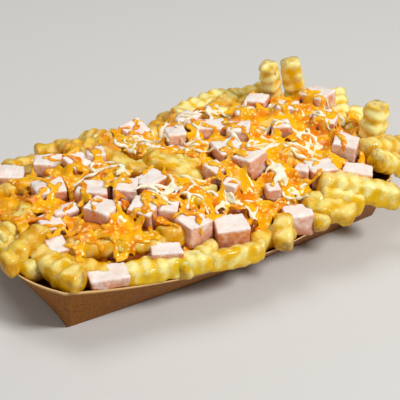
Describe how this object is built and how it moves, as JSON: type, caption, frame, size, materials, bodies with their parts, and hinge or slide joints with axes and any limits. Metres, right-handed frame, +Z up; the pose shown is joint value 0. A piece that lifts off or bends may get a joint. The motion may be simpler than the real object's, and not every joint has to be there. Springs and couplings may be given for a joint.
{
  "type": "loaded fries with ham",
  "caption": "Folded board food tray heaped with crinkle-cut fries, ham dice, melted orange cheese and white cheese shreds.",
  "frame": {"origin": "on the table under the middle of the tray's flat base", "axes": "+X along the tray's long side, +Y across it towards the far rim, +Z up"},
  "size_m": [0.2513, 0.1494, 0.0615],
  "materials": {
    "kraft_board": "matt brown board",
    "potato": "fried potato, oily",
    "ham": "moist cooked meat",
    "orange_cheese": "melted, glossy",
    "white_cheese": "melted, soft gloss"
  },
  "bodies": {
    "root": {"tray": "kraft_board", "fries_heap": "potato", "ham_01": "ham", "ham_02": "ham", "ham_03": "ham", "ham_04": "ham", "ham_05": "ham", "ham_06": "ham", "ham_07": "ham", "ham_08": "ham", "ham_09": "ham", "ham_10": "ham", "ham_11": "ham", "ham_12": "ham", "ham_13": "ham", "ham_14": "ham", "ham_15": "ham", "ham_16": "ham", "ham_17": "ham", "ham_18": "ham", "ham_19": "ham", "ham_20": "ham", "ham_21": "ham", "ham_22": "ham", "ham_23": "ham", "ham_24": "ham", "ham_25": "ham", "ham_26": "ham", "ham_27": "ham", "ham_28": "ham", "ham_29": "ham", "ham_30": "ham", "ham_31": "ham", "ham_32": "ham", "ham_33": "ham", "ham_34": "ham", "ham_35": "ham", "ham_36": "ham", "ham_37": "ham", "ham_38": "ham", "ham_39": "ham", "ham_40": "ham", "ham_41": "ham"}
  },
  "joints": []
}
